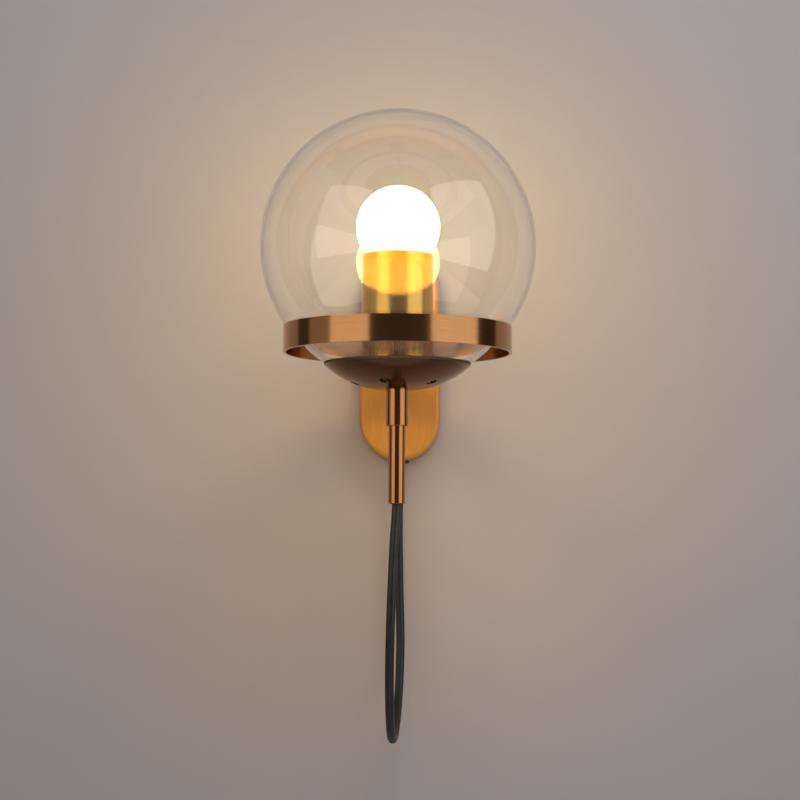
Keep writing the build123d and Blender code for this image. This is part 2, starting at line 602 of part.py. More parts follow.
with BuildPart() as socket_cover:
    with BuildSketch(LAMP):
        with BuildLine():
            Polyline(
                (STEM_HOLE_RADIUS, COVER_BOTTOM),
                (COVER_RADIUS, COVER_BOTTOM),
                (COVER_RADIUS, COVER_TOP),
                (COVER_RADIUS - COVER_WALL, COVER_TOP),
                (COVER_RADIUS - COVER_WALL, COVER_BOTTOM + COVER_WALL),
                (STEM_HOLE_RADIUS, COVER_BOTTOM + COVER_WALL),
                close=True,
            )
        make_face()
    revolve(axis=LAMP_AXIS)
    bottom_edge = socket_cover.edges().group_by(Axis.Z)[0].sort_by(SortBy.LENGTH)[-1]
    fillet(bottom_edge, radius=COVER_WALL * COVER_EDGE_SHARE)
save(socket_cover, "socket_cover")

HOLDER_RADIUS = HOLDER_DIAMETER / 2
HOLDER_BORE = THREAD_SHELL_BORE + THREAD_SHELL_WALL

with BuildPart() as lampholder_cap:
    with BuildSketch(LAMP):
        with BuildLine():
            Polyline(
                (STEM_HOLE_RADIUS, HOLDER_BOTTOM),
                (HOLDER_RADIUS - HOLDER_CAP_SLOPE, HOLDER_BOTTOM),
                (HOLDER_RADIUS, HOLDER_BOTTOM + HOLDER_CAP_SLOPE),
                (HOLDER_RADIUS, HOLDER_SEAM),
                (HOLDER_RADIUS - HOLDER_WALL, HOLDER_SEAM),
                (HOLDER_RADIUS - HOLDER_WALL, HOLDER_BOTTOM + HOLDER_CAP_SLOPE),
                (HOLDER_RADIUS - HOLDER_CAP_SLOPE, HOLDER_BOTTOM + HOLDER_WALL),
                (STEM_HOLE_RADIUS, HOLDER_BOTTOM + HOLDER_WALL),
                close=True,
            )
        make_face()
    revolve(axis=LAMP_AXIS)
save(lampholder_cap, "lampholder_cap")

with BuildPart() as lampholder_shell:
    with BuildSketch(level(HOLDER_SEAM)):
        Circle(HOLDER_RADIUS)
        Circle(HOLDER_BORE + SCREW_GAP, mode=Mode.SUBTRACT)
    extrude(amount=HOLDER_TOP - HOLDER_SEAM)
    top_edge = lampholder_shell.edges().group_by(Axis.Z)[-1].sort_by(SortBy.LENGTH)[-1]
    fillet(top_edge, radius=HOLDER_WALL / 2)
save(lampholder_shell, "lampholder_shell")

with BuildPart() as lampholder_core:
    with BuildSketch(level(HOLDER_SEAM - HOLDER_CORE_HEIGHT)):
        Circle(HOLDER_RADIUS - HOLDER_WALL - SCREW_GAP)
    extrude(amount=HOLDER_CORE_HEIGHT)
    with BuildSketch(level(BULB_TIP_BOTTOM - 2 * CONTACT_THICKNESS)):
        Rectangle(CONTACT_LENGTH + 2 * CONTACT_RECESS_GAP, TIP_DIAMETER + 2 * CONTACT_RECESS_GAP)
    extrude(amount=HOLDER_CORE_HEIGHT, mode=Mode.SUBTRACT)
save(lampholder_core, "lampholder_core")

with BuildPart() as lampholder_thread:
    with BuildSketch(level(HOLDER_SEAM)):
        Circle(HOLDER_BORE)
        Circle(THREAD_SHELL_BORE, mode=Mode.SUBTRACT)
    extrude(amount=THREAD_SHELL_TOP - HOLDER_SEAM)
save(lampholder_thread, "lampholder_thread")

with BuildPart() as lampholder_contact:
    with BuildSketch(level(BULB_TIP_BOTTOM - 2 * CONTACT_THICKNESS)):
        Rectangle(CONTACT_LENGTH, CONTACT_WIDTH)
    extrude(amount=CONTACT_THICKNESS)
    with BuildSketch(level(BULB_TIP_BOTTOM - CONTACT_THICKNESS)):
        Rectangle(CONTACT_LENGTH / 2, CONTACT_WIDTH)
    extrude(amount=CONTACT_THICKNESS - SEAL_GAP)
save(lampholder_contact, "lampholder_contact")

# ---- bulb -----------------------------------------------------------------------------------

BULB_INNER = BULB_RADIUS - BULB_WALL
INNER_SHARE = BULB_INNER / BULB_RADIUS
INNER_SEAM = (SEAM_RADIUS * INNER_SHARE, BULB_CENTRE - BULB_SEAM_DROP * INNER_SHARE)

with BuildPart() as bulb_diffuser:
    with BuildSketch(LAMP):
        with BuildLine():
            ThreePointArc(
                (0, BULB_CENTRE + BULB_RADIUS), (BULB_RADIUS, BULB_CENTRE), (SEAM_RADIUS, SEAM_HEIGHT)
            )
            Line((SEAM_RADIUS, SEAM_HEIGHT), (DIFFUSER_RADIUS, DIFFUSER_BOTTOM))
            Line((DIFFUSER_RADIUS, DIFFUSER_BOTTOM), (DIFFUSER_RADIUS - BULB_WALL, DIFFUSER_BOTTOM))
            Line((DIFFUSER_RADIUS - BULB_WALL, DIFFUSER_BOTTOM), INNER_SEAM)
            ThreePointArc(INNER_SEAM, (BULB_INNER, BULB_CENTRE), (0, BULB_CENTRE + BULB_INNER))
            Line((0, BULB_CENTRE + BULB_INNER), (0, BULB_CENTRE + BULB_RADIUS))
        make_face()
    revolve(axis=LAMP_AXIS)
save(bulb_diffuser, "bulb_diffuser")

with BuildPart() as bulb_led_board:
    with BuildSketch(level(DIFFUSER_BOTTOM)):
        Circle(DIFFUSER_RADIUS - BULB_WALL - LED_BOARD_GAP)
    extrude(amount=LED_BOARD_THICKNESS)
save(bulb_led_board, "bulb_led_board")

with BuildPart() as bulb_housing:
    with BuildSketch(LAMP):
        with BuildLine():
            Polyline(
                (0, DIFFUSER_BOTTOM),
                (DIFFUSER_RADIUS, DIFFUSER_BOTTOM),
                (NECK_RADIUS, NECK_TOP),
                (BULB_CAP_DIAMETER / 2, BULB_CAP_TOP),
                (0, BULB_CAP_TOP),
                close=True,
            )
        make_face()
    revolve(axis=LAMP_AXIS)
save(bulb_housing, "bulb_housing")

CAP_CORE_RADIUS = BULB_CAP_DIAMETER / 2 - BULB_THREAD_DEPTH

with BuildPart() as bulb_cap:
    with BuildSketch(level(BULB_CAP_BOTTOM)):
        Circle(CAP_CORE_RADIUS)
    extrude(amount=BULB_CAP_LENGTH)
    for turn in range(BULB_THREAD_TURNS):
        crest = BULB_CAP_BOTTOM + BULB_THREAD_PITCH * (turn + 1)
        with BuildSketch(LAMP):
            with Locations((CAP_CORE_RADIUS, crest)):
                Circle(BULB_THREAD_DEPTH)
        revolve(axis=LAMP_AXIS)
save(bulb_cap, "bulb_cap")

with BuildPart() as bulb_insulator:
    with BuildSketch(level(BULB_CAP_BOTTOM)):
        Circle(CAP_CORE_RADIUS)
    with BuildSketch(level(BULB_CAP_BOTTOM - INSULATOR_HEIGHT)):
        Circle(INSULATOR_DIAMETER / 2)
    loft()
save(bulb_insulator, "bulb_insulator")

with BuildPart() as bulb_tip_contact:
    with BuildSketch(level(BULB_CAP_BOTTOM - INSULATOR_HEIGHT)):
        Circle(TIP_DIAMETER / 2)
    extrude(amount=-TIP_HEIGHT)
    tip_face = bulb_tip_contact.faces().sort_by(Axis.Z)[0]
    fillet(tip_face.edges(), radius=TIP_HEIGHT * TIP_ROUNDING_SHARE)
save(bulb_tip_contact, "bulb_tip_contact")

# ---- cord and how it enters the backplate ---------------------------------------------------

PLATE_INNER_WIDTH = PLATE_WIDTH - 2 * PLATE_WALL
PLATE_INNER_HEIGHT = PLATE_HEIGHT - 2 * PLATE_WALL
GROMMET_LENGTH = 2 * GROMMET_FLANGE + PLATE_WALL + GROMMET_CURVE_ALLOWANCE

with BuildPart() as cord_grommet:
    with BuildSketch(cord_level(GROMMET_BOTTOM)):
        Circle(GROMMET_DIAMETER / 2)
    extrude(amount=GROMMET_LENGTH)
    with BuildSketch(WALL):
        SlotOverall(PLATE_HEIGHT, PLATE_WIDTH, rotation=90)
        SlotOverall(PLATE_INNER_HEIGHT, PLATE_INNER_WIDTH, rotation=90, mode=Mode.SUBTRACT)
    extrude(amount=PLATE_DEPTH, mode=Mode.SUBTRACT)
    with BuildSketch(cord_level(GROMMET_BOTTOM)):
        Circle(GROMMET_NECK_DIAMETER / 2 - SCREW_GAP)
    extrude(amount=GROMMET_LENGTH)
    with BuildSketch(cord_level(GROMMET_BOTTOM)):
        Circle(CORD_HOLE_RADIUS)
    extrude(amount=GROMMET_LENGTH, mode=Mode.SUBTRACT)
save(cord_grommet, "cord_grommet")

with BuildPart() as cord_clamp_base:
    with BuildSketch(WALL.offset(STRAP_THICKNESS)):
        with Locations((0, CLAMP_BOTTOM + CLAMP_HEIGHT / 2)):
            Rectangle(CLAMP_WIDTH, CLAMP_HEIGHT)
            with GridLocations(CLAMP_SCREW_SPACING, 0, 2, 1):
                Circle(CLAMP_SCREW_DIAMETER / 2 + SCREW_GAP, mode=Mode.SUBTRACT)
    extrude(amount=CORD_WALL_DISTANCE - STRAP_THICKNESS - CLAMP_SPLIT / 2)
    with BuildSketch(cord_level(CLAMP_BOTTOM)):
        Circle(CORD_HOLE_RADIUS)
    extrude(amount=CLAMP_HEIGHT, mode=Mode.SUBTRACT)
save(cord_clamp_base, "cord_clamp_base")

with BuildPart() as cord_clamp_bar:
    with BuildSketch(WALL.offset(CORD_WALL_DISTANCE + CLAMP_SPLIT / 2)):
        with Locations((0, CLAMP_BOTTOM + CLAMP_HEIGHT / 2)):
            RectangleRounded(CLAMP_WIDTH, CLAMP_HEIGHT, radius=CLAMP_CORNER_RADIUS)
            with GridLocations(CLAMP_SCREW_SPACING, 0, 2, 1):
                Circle(CLAMP_SCREW_DIAMETER / 2 + HOLE_GAP, mode=Mode.SUBTRACT)
    extrude(amount=CLAMP_BAR_THICKNESS)
    with BuildSketch(cord_level(CLAMP_BOTTOM)):
        Circle(CORD_HOLE_RADIUS)
    extrude(amount=CLAMP_HEIGHT, mode=Mode.SUBTRACT)
save(cord_clamp_bar, "cord_clamp_bar")

CLAMP_FRONT = CORD_WALL_DISTANCE + CLAMP_SPLIT / 2 + CLAMP_BAR_THICKNESS

with BuildPart() as cord_clamp_screws:
    with BuildSketch(WALL.offset(CLAMP_FRONT)):
        with Locations((0, CLAMP_BOTTOM + CLAMP_HEIGHT / 2)):
            with GridLocations(CLAMP_SCREW_SPACING, 0, 2, 1):
                Circle(CLAMP_SCREW_HEAD_DIAMETER / 2)
    extrude(amount=CLAMP_SCREW_HEAD_HEIGHT)
    with BuildSketch(WALL.offset(CLAMP_FRONT)):
        with Locations((0, CLAMP_BOTTOM + CLAMP_HEIGHT / 2)):
            with GridLocations(CLAMP_SCREW_SPACING, 0, 2, 1):
                Circle(CLAMP_SCREW_DIAMETER / 2)
    extrude(amount=-CLAMP_FRONT)
    with BuildSketch(WALL.offset(CLAMP_FRONT + CLAMP_SCREW_HEAD_HEIGHT)):
        with Locations((0, CLAMP_BOTTOM + CLAMP_HEIGHT / 2)):
            with GridLocations(CLAMP_SCREW_SPACING, 0, 2, 1):
                Rectangle(CLAMP_SCREW_HEAD_DIAMETER, DRIVE_WIDTH)
    extrude(amount=-DRIVE_DEPTH, mode=Mode.SUBTRACT)
save(cord_clamp_screws, "cord_clamp_screws")

with BuildPart() as cord_tail:
    with BuildSketch(cord_level(GROMMET_BOTTOM)):
        Circle(CORD_RADIUS)
    extrude(amount=CORD_TAIL_END - GROMMET_BOTTOM)
save(cord_tail, "cord_tail")

with BuildPart() as cord_stem_run:
    with BuildSketch(level(CORD_TUBE_BOTTOM)):
        Circle(CORD_RADIUS)
    extrude(amount=THREADED_ROD_TOP + CORD_ROD_STAND - CORD_TUBE_BOTTOM)
save(cord_stem_run, "cord_stem_run")

# each bend is as large as its two runs allow
cord_vectors = [Vector(*point) for point in CORD_POINTS]
cord_runs = [b - a for a, b in zip(cord_vectors, cord_vectors[1:])]
cord_radii = []
for before, after in zip(cord_runs, cord_runs[1:]):
    half_turn = radians(before.get_angle(after) / 2)
    cord_radii.append(CORD_BEND_SHARE * min(before.length, after.length) / tan(half_turn))

with BuildPart() as cord_loop:
    with BuildLine() as cord_route:
        FilletPolyline(*CORD_POINTS, radius=cord_radii)
    with BuildSketch(cord_route.line ^ 0):
        Circle(CORD_RADIUS)
    sweep()
save(cord_loop, "cord_loop")

cord_length = cord_route.wire().length
print("cord length", round(cord_length, 1), "bend radii", [round(r, 1) for r in cord_radii])
print("cord volume over section times length", cord_loop.part.volume / (pi * CORD_RADIUS**2 * cord_length))

# ---- terminals inside the backplate ---------------------------------------------------------

BARREL_DISTANCE = STRAP_THICKNESS + BLOCK_DEPTH / 2
BLOCK_FRONT = STRAP_THICKNESS + BLOCK_DEPTH
TERMINAL_SCREW_FRONT = BLOCK_FRONT - TERMINAL_SCREW_INSET
TERMINAL_SCREW_SPACING = BLOCK_HEIGHT / 2


def barrel_level(height):
    """A horizontal plane through the middle of the terminal block."""
    return Plane(origin=(BLOCK_CENTRE_X, -BARREL_DISTANCE, height))


with BuildPart() as terminal_block:
    with BuildSketch(WALL.offset(STRAP_THICKNESS)):
        with Locations((BLOCK_CENTRE_X, BLOCK_MIDDLE)):
            Rectangle(BLOCK_WIDTH, BLOCK_HEIGHT)
    extrude(amount=BLOCK_DEPTH)
    with BuildSketch(barrel_level(BLOCK_BOTTOM)):
        with GridLocations(BLOCK_PITCH, 0, BLOCK_POLES, 1):
            Circle(BARREL_DIAMETER / 2 + SCREW_GAP)
    extrude(amount=BLOCK_HEIGHT, mode=Mode.SUBTRACT)
    with BuildSketch(WALL.offset(BLOCK_FRONT)):
        with Locations((BLOCK_CENTRE_X, BLOCK_MIDDLE)):
            with GridLocations(BLOCK_PITCH, TERMINAL_SCREW_SPACING, BLOCK_POLES, 2):
                Circle(TERMINAL_SCREW_DIAMETER / 2 + HOLE_GAP)
    extrude(amount=-BLOCK_DEPTH / 2, mode=Mode.SUBTRACT)
    with BuildSketch(WALL.offset(STRAP_THICKNESS)):
        with Locations((BLOCK_CENTRE_X, BLOCK_MIDDLE)):
            Circle(BLOCK_SCREW_DIAMETER / 2 + HOLE_GAP)
    extrude(amount=BLOCK_DEPTH, mode=Mode.SUBTRACT)
save(terminal_block, "terminal_block")

with BuildPart() as terminal_barrels:
    with BuildSketch(barrel_level(BLOCK_BOTTOM + BARREL_INSET)):
        with GridLocations(BLOCK_PITCH, 0, BLOCK_POLES, 1):
            Circle(BARREL_DIAMETER / 2)
            Circle(BARREL_BORE / 2, mode=Mode.SUBTRACT)
    extrude(amount=BLOCK_HEIGHT - 2 * BARREL_INSET)
    with BuildSketch(WALL.offset(BLOCK_FRONT)):
        with Locations((BLOCK_CENTRE_X, BLOCK_MIDDLE)):
            with GridLocations(BLOCK_PITCH, TERMINAL_SCREW_SPACING, BLOCK_POLES, 2):
                Circle(TERMINAL_SCREW_DIAMETER / 2 + SCREW_GAP)
    extrude(amount=-BLOCK_DEPTH / 2, mode=Mode.SUBTRACT)
save(terminal_barrels, "terminal_barrels")

with BuildPart() as terminal_screws:
    with BuildSketch(WALL.offset(TERMINAL_SCREW_FRONT)):
        with Locations((BLOCK_CENTRE_X, BLOCK_MIDDLE)):
            with GridLocations(BLOCK_PITCH, TERMINAL_SCREW_SPACING, BLOCK_POLES, 2):
                Circle(TERMINAL_SCREW_DIAMETER / 2)
    extrude(amount=BARREL_DISTANCE + LEAD_DIAMETER / 2 - TERMINAL_SCREW_FRONT)
    with BuildSketch(WALL.offset(TERMINAL_SCREW_FRONT)):
        with Locations((BLOCK_CENTRE_X, BLOCK_MIDDLE)):
            with GridLocations(BLOCK_PITCH, TERMINAL_SCREW_SPACING, BLOCK_POLES, 2):
                Rectangle(TERMINAL_SCREW_DIAMETER, DRIVE_WIDTH / 2)
    extrude(amount=-DRIVE_DEPTH, mode=Mode.SUBTRACT)
save(terminal_screws, "terminal_screws")

with BuildPart() as terminal_block_screw:
    with BuildSketch(WALL.offset(BLOCK_FRONT)):
        with Locations((BLOCK_CENTRE_X, BLOCK_MIDDLE)):
            Circle(BLOCK_SCREW_DIAMETER / 2)
    extrude(amount=-BLOCK_FRONT)
    with BuildSketch(WALL.offset(BLOCK_FRONT)):
        with Locations((BLOCK_CENTRE_X, BLOCK_MIDDLE)):
            Circle(BLOCK_SCREW_HEAD_DIAMETER / 2)
    extrude(amount=BLOCK_SCREW_HEAD_HEIGHT)
save(terminal_block_screw, "terminal_block_screw")

LEAD_FORK = CORD_TAIL_END + LEAD_RISE
LEAD_GATHER = BLOCK_BOTTOM - LEAD_ENTRY


def core(angle, height):
    """Where one of the cord's three cores is, at a height."""
    turned = radians(angle)
    return (LEAD_SPREAD * cos(turned), LEAD_SPREAD * sin(turned) - CORD_WALL_DISTANCE, height)


poles = [
    ("lead_live", LIVE_CORE_ANGLE, BLOCK_CENTRE_X - BLOCK_PITCH / 2),
    ("lead_neutral", NEUTRAL_CORE_ANGLE, BLOCK_CENTRE_X + BLOCK_PITCH / 2),
]

for name, angle, pole_x in poles:
    with BuildPart() as lead:
        with BuildLine() as route:
            FilletPolyline(
                core(angle, CORD_TAIL_END),
                core(angle, LEAD_FORK),
                (pole_x, -BARREL_DISTANCE, LEAD_GATHER),
                (pole_x, -BARREL_DISTANCE, BLOCK_MIDDLE),
                radius=LEAD_BEND,
            )
        with BuildSketch(route.line ^ 0):
            Circle(LEAD_DIAMETER / 2)
        sweep()
    save(lead, name)

EARTH_LEVEL = -STRAP_THICKNESS - LEAD_DIAMETER / 2
EARTH_TAG_BOTTOM = EARTH_SCREW_Z - EARTH_TAG_DIAMETER / 2

with BuildPart() as lead_earth:
    with BuildLine() as route:
        FilletPolyline(
            core(EARTH_CORE_ANGLE, CORD_TAIL_END),
            core(EARTH_CORE_ANGLE, LEAD_FORK),
            (EARTH_SCREW_X, EARTH_LEVEL, LEAD_GATHER),
            (EARTH_SCREW_X, EARTH_LEVEL, EARTH_TAG_BOTTOM + LEAD_TAG_OVERLAP),
            radius=LEAD_BEND,
        )
    with BuildSketch(route.line ^ 0):
        Circle(LEAD_DIAMETER / 2)
    sweep()
    with BuildSketch(WALL.offset(STRAP_THICKNESS)):
        with Locations((EARTH_SCREW_X, EARTH_SCREW_Z)):
            Circle(EARTH_TAG_DIAMETER / 2)
    extrude(amount=EARTH_TAG_THICKNESS)
    with BuildSketch(WALL.offset(STRAP_THICKNESS)):
        with Locations((EARTH_SCREW_X, EARTH_SCREW_Z)):
            Circle(EARTH_SCREW_DIAMETER / 2 + SCREW_GAP)
    extrude(amount=EARTH_TAG_THICKNESS, mode=Mode.SUBTRACT)
save(lead_earth, "lead_earth")

EARTH_HEAD = STRAP_THICKNESS + EARTH_TAG_THICKNESS

with BuildPart() as earth_screw:
    with BuildSketch(WALL.offset(EARTH_HEAD)):
        with Locations((EARTH_SCREW_X, EARTH_SCREW_Z)):
            Circle(EARTH_SCREW_HEAD_DIAMETER / 2)
    extrude(amount=EARTH_SCREW_HEAD_HEIGHT)
    with BuildSketch(WALL.offset(EARTH_HEAD)):
        with Locations((EARTH_SCREW_X, EARTH_SCREW_Z)):
            Circle(EARTH_SCREW_DIAMETER / 2)
    extrude(amount=-EARTH_HEAD)
save(earth_screw, "earth_screw")
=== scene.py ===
import json
from math import cos, pi, radians, sin

import bmesh
import bpy
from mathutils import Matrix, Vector


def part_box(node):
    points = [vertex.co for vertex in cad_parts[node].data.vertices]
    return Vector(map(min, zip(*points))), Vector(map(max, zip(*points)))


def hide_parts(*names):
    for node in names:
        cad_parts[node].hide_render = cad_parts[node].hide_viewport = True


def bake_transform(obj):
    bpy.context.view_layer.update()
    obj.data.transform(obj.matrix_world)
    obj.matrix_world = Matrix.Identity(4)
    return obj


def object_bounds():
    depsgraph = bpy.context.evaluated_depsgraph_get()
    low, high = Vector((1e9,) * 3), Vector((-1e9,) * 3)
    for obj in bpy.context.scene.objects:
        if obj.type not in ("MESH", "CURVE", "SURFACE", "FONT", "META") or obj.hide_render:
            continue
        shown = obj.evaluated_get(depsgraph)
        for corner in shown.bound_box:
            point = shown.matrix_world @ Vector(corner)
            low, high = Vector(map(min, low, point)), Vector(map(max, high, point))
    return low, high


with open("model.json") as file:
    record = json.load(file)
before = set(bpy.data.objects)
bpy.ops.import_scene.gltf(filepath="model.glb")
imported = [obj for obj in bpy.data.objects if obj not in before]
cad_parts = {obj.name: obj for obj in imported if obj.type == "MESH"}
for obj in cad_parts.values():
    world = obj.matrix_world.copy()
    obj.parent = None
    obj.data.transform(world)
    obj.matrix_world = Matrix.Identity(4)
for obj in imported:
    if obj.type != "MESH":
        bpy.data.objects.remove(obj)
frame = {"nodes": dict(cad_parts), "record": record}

cad_low, cad_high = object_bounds()

# ---- places, taken from the model ------------------------------------------------------------

globe_low, globe_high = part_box("glass_globe")
tube_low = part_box("cord_tube")[0]
grommet_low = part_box("cord_grommet")[0]

GLOBE_RADIUS = (globe_high.x - globe_low.x) / 2
GLOBE_Z = globe_high.z - GLOBE_RADIUS
LAMP_Y = (globe_low.y + globe_high.y) / 2

# ---- camera: below the globe, looking up a little ---------------------------------------------

CAMERA_DISTANCE = 1.8186
CAMERA_DROP = 0.2708
CAMERA_SIDE = 0.0351
CAMERA_PITCH = 4.999
CAMERA_TURN = 1.01
CAMERA_ROLL = 0.345
CAMERA_FOCAL_MM = 113.84
SENSOR_MM = 36.0
CLIP_NEAR = 0.02
CLIP_FAR = 30


def link_object(name, data):
    made = bpy.data.objects.new(name, data)
    bpy.context.collection.objects.link(made)
    return made


def make_camera():
    data = bpy.data.cameras.new("camera")
    data.lens = CAMERA_FOCAL_MM
    data.sensor_width = SENSOR_MM
    data.clip_start = CLIP_NEAR
    data.clip_end = CLIP_FAR
    camera = link_object("camera", data)
    camera.location = (CAMERA_SIDE, LAMP_Y - CAMERA_DISTANCE, GLOBE_Z - CAMERA_DROP)
    camera.rotation_euler = (radians(90 + CAMERA_PITCH), radians(-CAMERA_ROLL), radians(CAMERA_TURN))
    bpy.context.scene.camera = camera


make_camera()

# ---- the cord: one smooth line from the stem's end, down, round and up into the backplate ------

CORD_DIAMETER = 0.0065
CORD_FIRST_RUN = 0.006
CORD_LAST_RUN = 0.019
CORD_WALL_DISTANCE = 0.0125
CORD_SIDES = 24
CORD_STEPS = 24
CORD_ORDER = 3

CORD_POINTS = [
    (0, LAMP_Y, tube_low.z),
    (0, LAMP_Y, tube_low.z - CORD_FIRST_RUN),
    (-0.0019, -0.1354, -0.148),
    (-0.0046, -0.133, -0.226),
    (-0.0045, -0.112, -0.274),
    (-0.0031, -0.0735, -0.2945),
    (-0.0003, -0.0345, -0.274),
    (0.0018, -0.014, -0.226),
    (0.0002, -0.0114, -0.176),
    (-0.0009, -0.0121, -0.125),
    (0, -CORD_WALL_DISTANCE, grommet_low.z - CORD_LAST_RUN),
    (0, -CORD_WALL_DISTANCE, grommet_low.z),
]


def link_mesh(name, bm):
    """A smooth-shaded object made of a bmesh."""
    mesh = bpy.data.meshes.new(name)
    bm.to_mesh(mesh)
    bm.free()
    for face in mesh.polygons:
        face.use_smooth = True
    return link_object(name, mesh)


def smooth_line(name, points):
    """The points of a smooth NURBS line along a route."""
    data = bpy.data.curves.new(name, "CURVE")
    data.dimensions = "3D"
    data.resolution_u = CORD_STEPS
    spline = data.splines.new("NURBS")
    spline.points.add(len(points) - 1)
    for point, place in zip(spline.points, points):
        point.co = (*place, 1)
    spline.order_u = CORD_ORDER
    spline.use_endpoint_u = True
    line = link_object(name, data)
    bpy.context.view_layer.update()
    mesh = bpy.data.meshes.new_from_object(line)
    path = [vertex.co.copy() for vertex in mesh.vertices]
    bpy.data.meshes.remove(mesh)
    bpy.data.objects.remove(line)
    return path


def tube_along(name, path, radius, sides):
    """A round tube along a path, closed at both ends, with rings that don't twist."""
    bm = bmesh.new()
    rings = []
    across = Vector((1, 0, 0))
    for i, centre in enumerate(path):
        ahead = path[min(i + 1, len(path) - 1)] - path[max(i - 1, 0)]
        ahead.normalize()
        across = (across - ahead * across.dot(ahead)).normalized()
        third = ahead.cross(across)
        turns = [2 * pi * k / sides for k in range(sides)]
        rings.append([bm.verts.new(centre + radius * (cos(t) * across + sin(t) * third)) for t in turns])
    for low, high in zip(rings, rings[1:]):
        for k in range(sides):
            n = (k + 1) % sides
            bm.faces.new((low[k], low[n], high[n], high[k]))
    bm.faces.new(reversed(rings[0]))
    bm.faces.new(rings[-1])
    return link_mesh(name, bm)


cord_path = smooth_line("cord_line", CORD_POINTS)
cord = tube_along("hanging_cord", cord_path, CORD_DIAMETER / 2, CORD_SIDES)

# ---- materials ----------------------------------------------------------------------------------

NOISE_LOW = 0.3
NOISE_HIGH = 0.7
FINE_GRAIN = 0.00001
SOFT_GRAIN = 0.00002
SMOOTHEST = 0.8
BRASS_ROUGHEST = 1.3
SATIN_ROUGHEST = 1.25
FLECK_DARK_STOP = 0.35
FLECK_LIGHT_STOP = 0.65


class Shader:
    """A material with one Principled shader, and short ways to add nodes in front of it."""

    def __init__(self, name, color, rough, metal=0.0):
        self.material = bpy.data.materials.new(name)
        self.material.use_nodes = True
        self.nodes = self.material.node_tree.nodes
        self.links = self.material.node_tree.links
        self.main = self.nodes["Principled BSDF"]
        self.set("Base Color", (*color, 1))
        self.set("Roughness", rough)
        self.set("Metallic", metal)

    def set(self, socket, value):
        self.main.inputs[socket].default_value = value

    def add(self, kind, **values):
        node = self.nodes.new(kind)
        for key, value in values.items():
            setattr(node, key, value)
        return node

    def link(self, output, target):
        self.links.new(output, target)

    def math(self, operation, a, b=None):
        node = self.add("ShaderNodeMath", operation=operation)
        for slot, value in zip(node.inputs, (a, b)):
            if value is None:
                continue
            if isinstance(value, (int, float)):
                slot.default_value = value
            else:
                self.link(value, slot)
        return node.outputs[0]

    def place(self, scale=(1, 1, 1)):
        """Object coordinates, stretched."""
        coordinates = self.add("ShaderNodeTexCoord")
        stretched = self.add("ShaderNodeVectorMath", operation="MULTIPLY")
        stretched.inputs[1].default_value = scale
        self.link(coordinates.outputs["Object"], stretched.inputs[0])
        return stretched.outputs[0]

    def round_place(self, around, along, outward, radius):
        """Coordinates that run round the lamp's axis, up it and out from it, each stretched."""
        coordinates = self.add("ShaderNodeTexCoord")
        split = self.add("ShaderNodeSeparateXYZ")
        self.link(coordinates.outputs["Object"], split.inputs[0])
        y = self.math("SUBTRACT", split.outputs["Y"], LAMP_Y)
        angle = self.math("ARCTAN2", split.outputs["X"], y)
        x_squared = self.math("POWER", split.outputs["X"], 2.0)
        reach = self.math("SQRT", self.math("ADD", x_squared, self.math("POWER", y, 2.0)))
        joined = self.add("ShaderNodeCombineXYZ")
        self.link(self.math("MULTIPLY", angle, radius * around), joined.inputs[0])
        self.link(self.math("MULTIPLY", split.outputs["Z"], along), joined.inputs[1])
        self.link(self.math("MULTIPLY", reach, outward), joined.inputs[2])
        return joined.outputs[0]

    def noise(self, place, scale, detail=4.0, rough=0.6):
        node = self.add("ShaderNodeTexNoise")
        node.inputs["Scale"].default_value = scale
        node.inputs["Detail"].default_value = detail
        node.inputs["Roughness"].default_value = rough
        self.link(place, node.inputs["Vector"])
        return node.outputs["Fac"]

    def ramp(self, value, stops):
        node = self.add("ShaderNodeValToRGB")
        elements = node.color_ramp.elements
        while len(elements) < len(stops):
            elements.new(0.5)
        for element, (at, color) in zip(elements, stops):
            element.position = at
            element.color = (*color, 1)
        self.link(value, node.inputs[0])
        return node.outputs[0]

    def spread(self, value, low, high):
        node = self.add("ShaderNodeMapRange")
        node.inputs["From Min"].default_value = NOISE_LOW
        node.inputs["From Max"].default_value = NOISE_HIGH
        node.inputs["To Min"].default_value = low
        node.inputs["To Max"].default_value = high
        self.link(value, node.inputs["Value"])
        return node.outputs[0]

    def bump(self, value, distance, strength):
        node = self.add("ShaderNodeBump")
        node.inputs["Strength"].default_value = strength
        node.inputs["Distance"].default_value = distance
        self.link(value, node.inputs["Height"])
        self.link(node.outputs[0], self.main.inputs["Normal"])

    def surface(self, shader):
        self.link(shader.outputs[0], self.nodes["Material Output"].inputs["Surface"])

    def clear_where(self, share, tint=(1, 1, 1)):
        """Lets light straight through, tinted, where the share is 1."""
        clear = self.add("ShaderNodeBsdfTransparent")
        clear.inputs["Color"].default_value = (*tint, 1)
        mixed = self.add("ShaderNodeMixShader")
        self.link(share, mixed.inputs[0])
        self.link(self.main.outputs[0], mixed.inputs[1])
        self.link(clear.outputs[0], mixed.inputs[2])
        self.surface(mixed)


